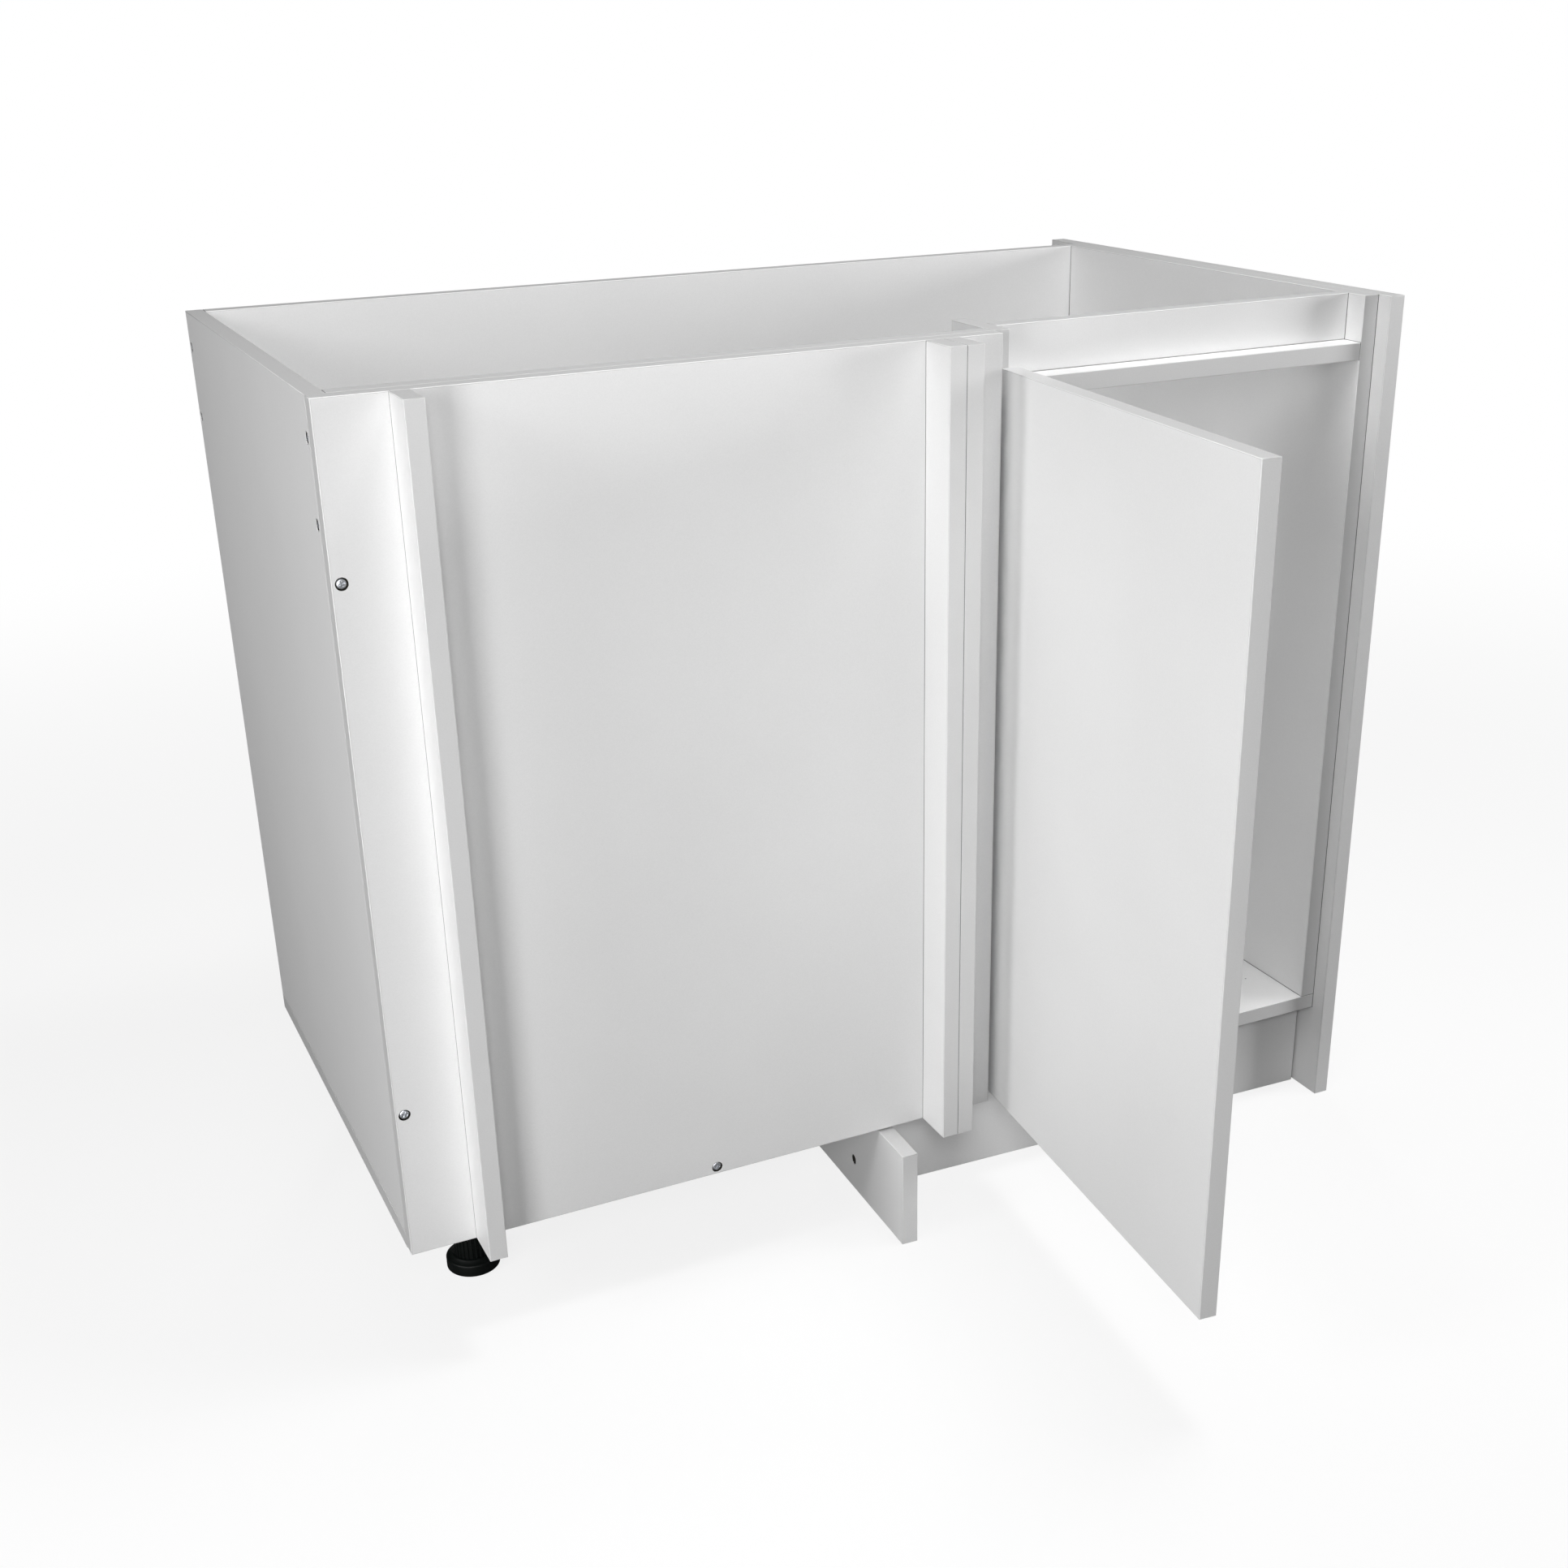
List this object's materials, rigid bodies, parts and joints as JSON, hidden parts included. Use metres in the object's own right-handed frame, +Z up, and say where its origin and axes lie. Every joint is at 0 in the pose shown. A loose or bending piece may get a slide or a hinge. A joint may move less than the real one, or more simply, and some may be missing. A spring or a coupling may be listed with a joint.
{
  "type": "corner base cabinet",
  "caption": "Corner base cabinet with a fixed blind front and spacer battens, a hinged handleless door under a grip recess, plinth, end panel and adjustable legs.",
  "frame": {"origin": "middle of the footprint's bounding box on the floor, with the door standing open as pictured", "axes": "+X from the blind side to the door's side along the width, +Y from the front to the back, +Z up"},
  "size_m": [1, 0.9734, 0.834],
  "materials": {
    "white_board": "satin melamine facing",
    "white_hardboard": "matt painted hardboard",
    "door_board": "satin",
    "black_plastic": "moulded",
    "hinge_steel": "nickel plated",
    "pin_steel": "plain",
    "screw_zinc": "zinc plated"
  },
  "bodies": {
    "cabinet": {"bottom_panel": "white_board", "left_side": "white_board", "right_side": "white_board", "front_rail": "white_board", "rear_rail": "white_board", "hinge_stile": "white_board", "grip_rail": "white_board", "grip_ledge": "white_board", "blind_front": "white_board", "batten_1": "white_board", "batten_2": "white_board", "batten_3": "white_board", "end_panel": "white_board", "plinth_front": "white_board", "plinth_return": "white_board", "back_panel": "white_hardboard", "leg_plate_1": "black_plastic", "leg_plate_2": "black_plastic", "leg_plate_3": "black_plastic", "leg_plate_4": "black_plastic", "leg_sleeve_1": "black_plastic", "leg_sleeve_2": "black_plastic", "leg_sleeve_3": "black_plastic", "leg_sleeve_4": "black_plastic", "hinge_arm_1": "hinge_steel", "hinge_arm_2": "hinge_steel", "hinge_plate_1": "hinge_steel", "hinge_plate_2": "hinge_steel", "plate_screws": "screw_zinc", "arm_screws": "screw_zinc", "side_screws": "screw_zinc", "base_screws": "screw_zinc", "stile_screws": "screw_zinc", "blind_screws": "screw_zinc", "rail_screws": "screw_zinc", "batten_screws": "screw_zinc", "end_screws": "screw_zinc", "plinth_screw": "screw_zinc", "leg_screws": "screw_zinc"},
    "door": {"door": "door_board", "hinge_cup_1": "hinge_steel", "hinge_cup_2": "hinge_steel", "hinge_pin_1": "pin_steel", "hinge_pin_2": "pin_steel", "cup_screws": "screw_zinc"},
    "foot_1": {"leg_foot_1": "black_plastic"},
    "foot_2": {"leg_foot_2": "black_plastic"},
    "foot_3": {"leg_foot_3": "black_plastic"},
    "foot_4": {"leg_foot_4": "black_plastic"}
  },
  "joints": [
    {"name": "door_swing", "type": "hinge", "parent": "cabinet", "child": "door", "pos_m": [0.0865, -0.09279, 0.454], "axis": [0, 0, -1], "range_deg": [-95, 0]},
    {"name": "foot_1_turn", "type": "hinge", "parent": "cabinet", "child": "foot_1", "pos_m": [-0.421, 0.01471, 0], "axis": [0, 0, 1], "continuous": true},
    {"name": "foot_2_turn", "type": "hinge", "parent": "cabinet", "child": "foot_2", "pos_m": [0.405, 0.01471, 0], "axis": [0, 0, 1], "continuous": true},
    {"name": "foot_3_turn", "type": "hinge", "parent": "cabinet", "child": "foot_3", "pos_m": [-0.421, 0.37571, 0], "axis": [0, 0, 1], "continuous": true},
    {"name": "foot_4_turn", "type": "hinge", "parent": "cabinet", "child": "foot_4", "pos_m": [0.405, 0.37571, 0], "axis": [0, 0, 1], "continuous": true}
  ]
}
